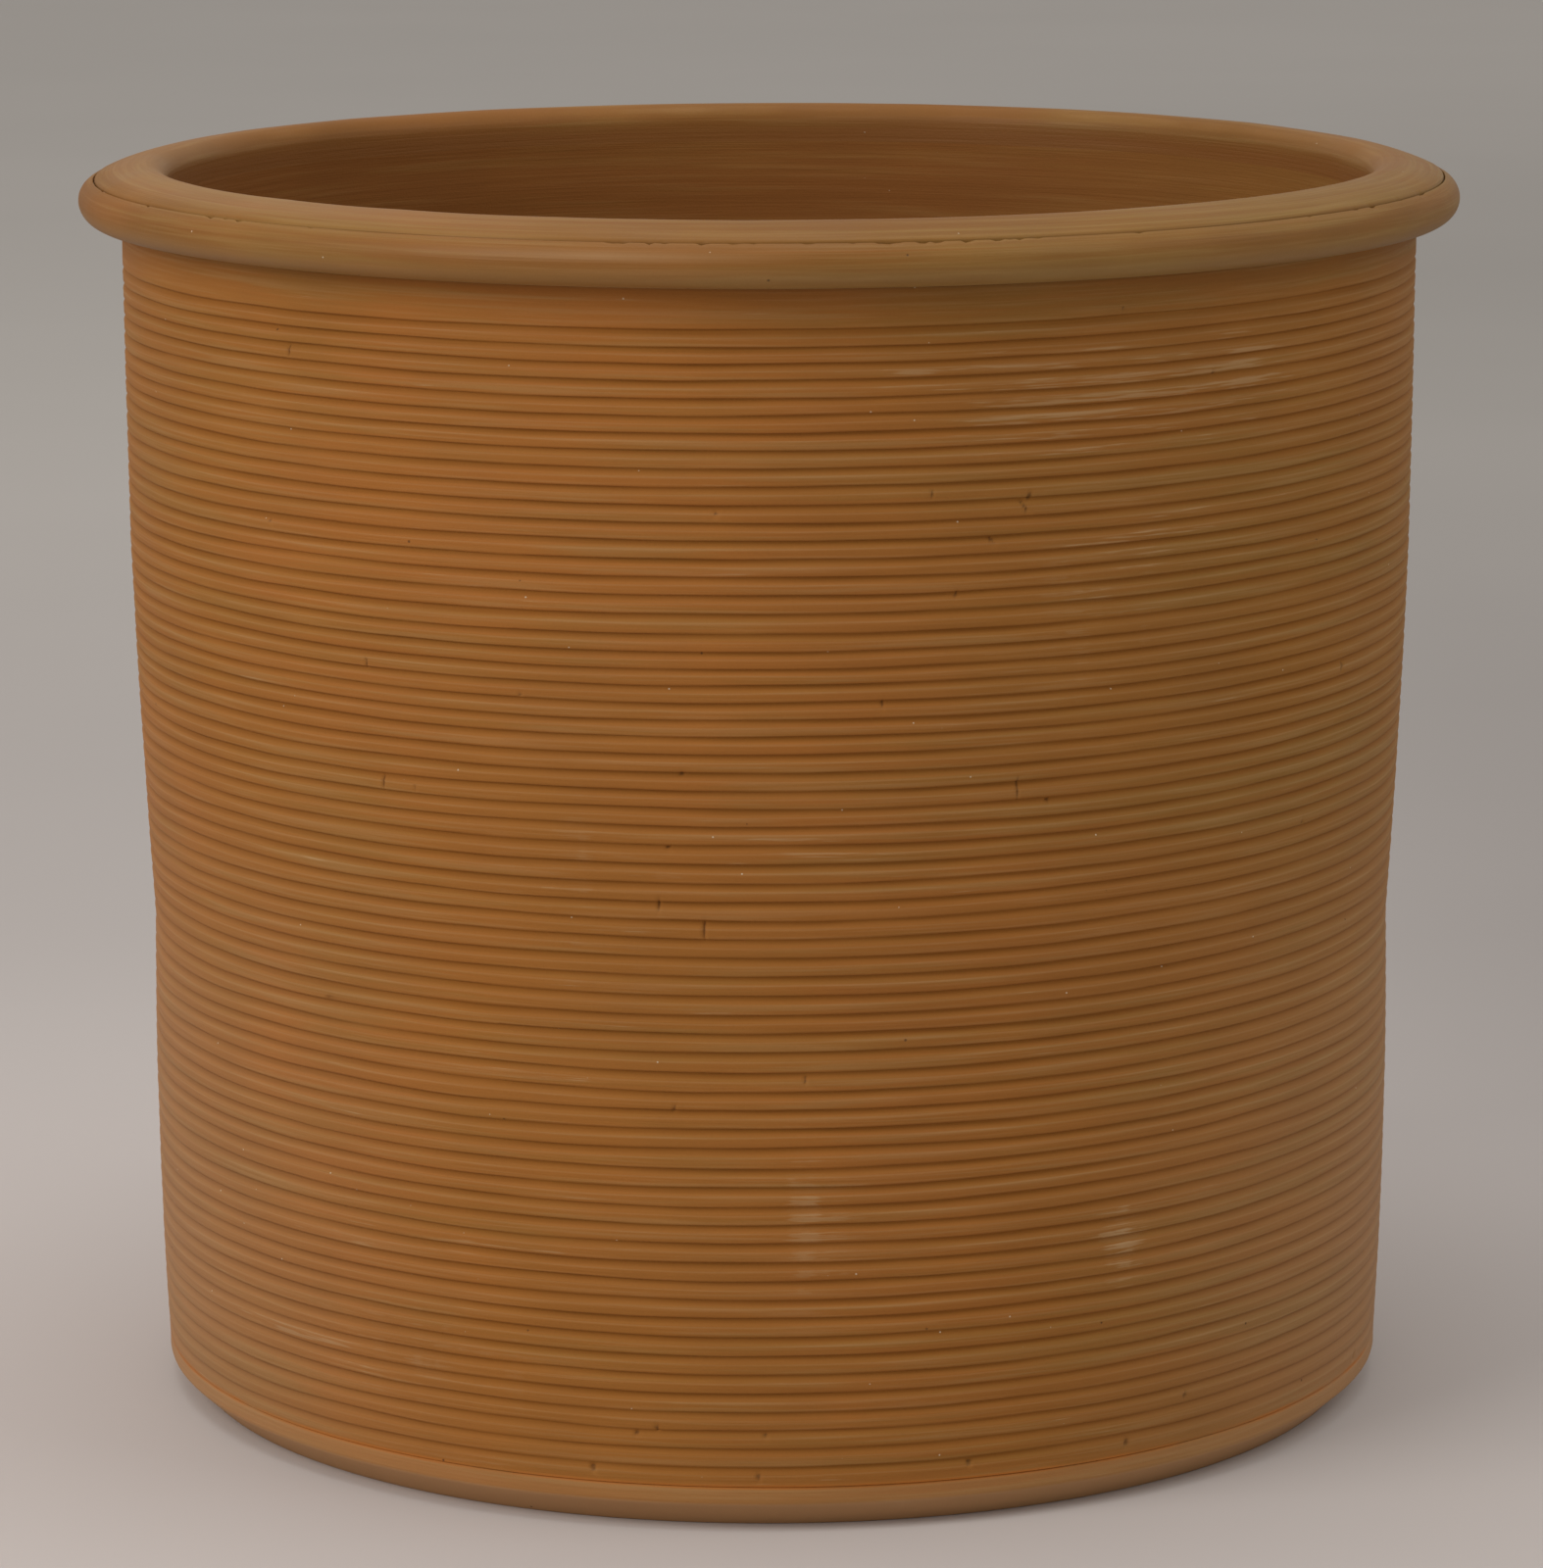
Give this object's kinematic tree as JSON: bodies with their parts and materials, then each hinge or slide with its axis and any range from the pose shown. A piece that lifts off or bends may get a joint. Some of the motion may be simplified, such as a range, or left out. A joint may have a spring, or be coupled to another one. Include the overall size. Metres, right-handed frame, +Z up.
{
  "type": "flower pot",
  "caption": "Large cylindrical floor planter of unglazed fired clay, with a flat-topped rolled rim, a comb-grooved wall and a drain hole in its floor.",
  "frame": {"origin": "centre of the underside, on the floor that the pot stands on", "axes": "+Z up, along the pot's axis of revolution; the pot is round, so +X and +Y are any two square directions"},
  "size_m": [0.5499, 0.55, 0.495],
  "materials": {
    "terracotta": "unglazed fired clay, matt, with comb marks and pale scuffs"
  },
  "bodies": {
    "root": {"floor_slab": "terracotta", "corner_coil": "terracotta", "lower_wall": "terracotta", "middle_wall": "terracotta", "upper_wall": "terracotta", "rim_bead": "terracotta", "rim_lip": "terracotta"}
  },
  "joints": []
}
